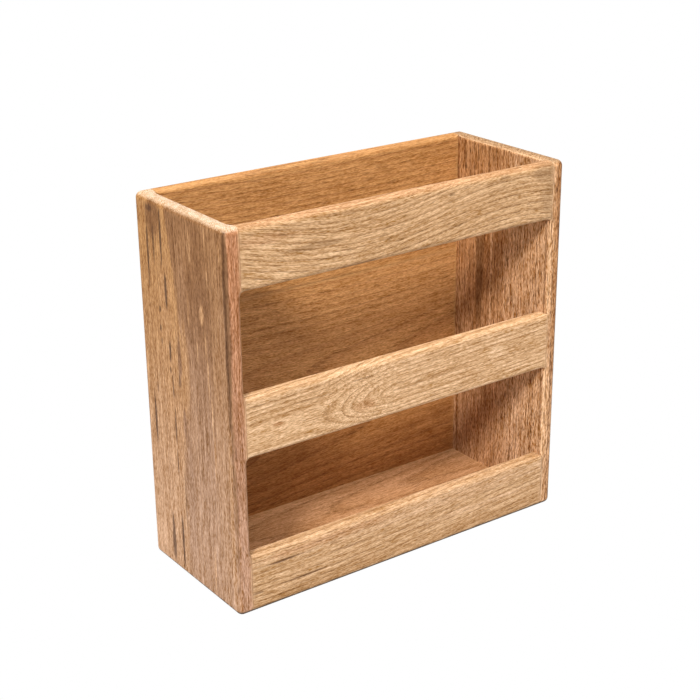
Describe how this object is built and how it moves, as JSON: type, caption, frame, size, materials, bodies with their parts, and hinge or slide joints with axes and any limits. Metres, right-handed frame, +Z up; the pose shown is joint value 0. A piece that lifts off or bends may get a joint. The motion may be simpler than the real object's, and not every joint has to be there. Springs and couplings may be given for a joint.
{
  "type": "magazine rack",
  "caption": "Free-standing open-topped wooden magazine rack with full-height sides, a slatted open front, a closed back and a bottom board, dowelled and glued, with rounded arrises.",
  "frame": {"origin": "on the floor, at the middle of the footprint", "axes": "+X to the rack's right side seen from the front, +Y to the back, +Z up"},
  "size_m": [0.248, 0.102, 0.239],
  "materials": {
    "side_teak": "oiled teak, upright grain, satin",
    "slat_teak": "oiled teak, golden, grain across, satin",
    "back_teak": "oiled teak, orange brown, grain across, satin",
    "bottom_teak": "oiled teak, grain across, satin",
    "dowel_wood": "dry pale hardwood"
  },
  "bodies": {
    "root": {"left_side": "side_teak", "right_side": "side_teak", "bottom_slat": "slat_teak", "middle_slat": "slat_teak", "top_slat": "slat_teak", "back_board_bottom": "back_teak", "back_board_middle": "back_teak", "back_board_top": "back_teak", "bottom_board": "bottom_teak", "bottom_slat_dowel_left_1": "dowel_wood", "bottom_slat_dowel_left_2": "dowel_wood", "bottom_slat_dowel_right_1": "dowel_wood", "bottom_slat_dowel_right_2": "dowel_wood", "middle_slat_dowel_left_1": "dowel_wood", "middle_slat_dowel_left_2": "dowel_wood", "middle_slat_dowel_right_1": "dowel_wood", "middle_slat_dowel_right_2": "dowel_wood", "top_slat_dowel_left_1": "dowel_wood", "top_slat_dowel_left_2": "dowel_wood", "top_slat_dowel_right_1": "dowel_wood", "top_slat_dowel_right_2": "dowel_wood", "back_board_bottom_dowel_left_1": "dowel_wood", "back_board_bottom_dowel_left_2": "dowel_wood", "back_board_bottom_dowel_right_1": "dowel_wood", "back_board_bottom_dowel_right_2": "dowel_wood", "back_board_middle_dowel_left_1": "dowel_wood", "back_board_middle_dowel_left_2": "dowel_wood", "back_board_middle_dowel_right_1": "dowel_wood", "back_board_middle_dowel_right_2": "dowel_wood", "back_board_top_dowel_left_1": "dowel_wood", "back_board_top_dowel_left_2": "dowel_wood", "back_board_top_dowel_right_1": "dowel_wood", "back_board_top_dowel_right_2": "dowel_wood", "bottom_board_dowel_left_1": "dowel_wood", "bottom_board_dowel_left_2": "dowel_wood", "bottom_board_dowel_right_1": "dowel_wood", "bottom_board_dowel_right_2": "dowel_wood"}
  },
  "joints": []
}
